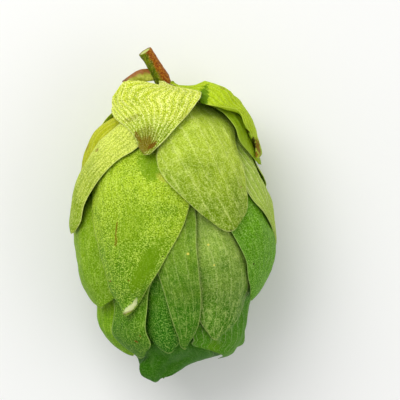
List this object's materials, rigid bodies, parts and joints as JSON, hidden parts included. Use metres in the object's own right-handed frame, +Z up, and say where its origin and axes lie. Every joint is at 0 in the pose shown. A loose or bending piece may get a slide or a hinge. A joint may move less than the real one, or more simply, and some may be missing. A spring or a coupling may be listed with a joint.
{
  "type": "hop cone",
  "caption": "Green hop cone of overlapping papery bracts, picked with its short red-brown stalk and lying on its back.",
  "frame": {"origin": "middle of the cone's footprint, at the height of the surface it lies on", "axes": "+Z up, towards the side of the cone that is seen in front; +Y along the cone towards its crown and stalk; +X towards the cone's right side as it is seen from the front with the stalk at the top"},
  "size_m": [0.0258, 0.041, 0.0234],
  "materials": {
    "young_bract": "satin",
    "green_bract": "satin",
    "pale_bract": "satin",
    "deep_bract": "satin",
    "stalk": "matte",
    "stipule": "matte"
  },
  "bodies": {
    "root": {"bract_back_1_1": "young_bract", "bract_back_1_2": "young_bract", "bract_back_1_3": "young_bract", "bract_back_2_1": "young_bract", "bract_back_2_2": "young_bract", "bract_back_2_3": "young_bract", "bract_back_2_4": "young_bract", "bract_back_3_1": "green_bract", "bract_back_3_2": "green_bract", "bract_back_3_3": "green_bract", "bract_back_4_1": "green_bract", "bract_back_4_2": "green_bract", "bract_back_4_3": "green_bract", "bract_back_4_4": "green_bract", "bract_back_5_1": "green_bract", "bract_back_5_2": "green_bract", "bract_back_5_3": "green_bract", "bract_back_6_1": "deep_bract", "bract_back_6_2": "deep_bract", "bract_back_6_3": "deep_bract", "bract_back_6_4": "deep_bract", "bract_back_7_1": "deep_bract", "bract_back_7_2": "deep_bract", "bract_back_7_3": "deep_bract", "bract_back_8_1": "deep_bract", "bract_back_8_2": "deep_bract", "bract_back_9_1": "deep_bract", "bract_back_9_2": "deep_bract", "bract_bottom": "deep_bract", "bract_crown_front": "young_bract", "bract_crown_right": "young_bract", "bract_low_left": "green_bract", "bract_low_middle": "deep_bract", "bract_low_right": "deep_bract", "bract_low_side_left": "green_bract", "bract_lower_left": "green_bract", "bract_lower_middle": "pale_bract", "bract_lower_right": "pale_bract", "bract_middle_left": "green_bract", "bract_middle_right": "green_bract", "bract_shoulder_left": "young_bract", "bract_shoulder_right": "young_bract", "bract_side_right": "pale_bract", "bract_upper_left": "young_bract", "bract_upper_right": "pale_bract", "stalk": "stalk", "stipule": "stipule"}
  },
  "joints": []
}
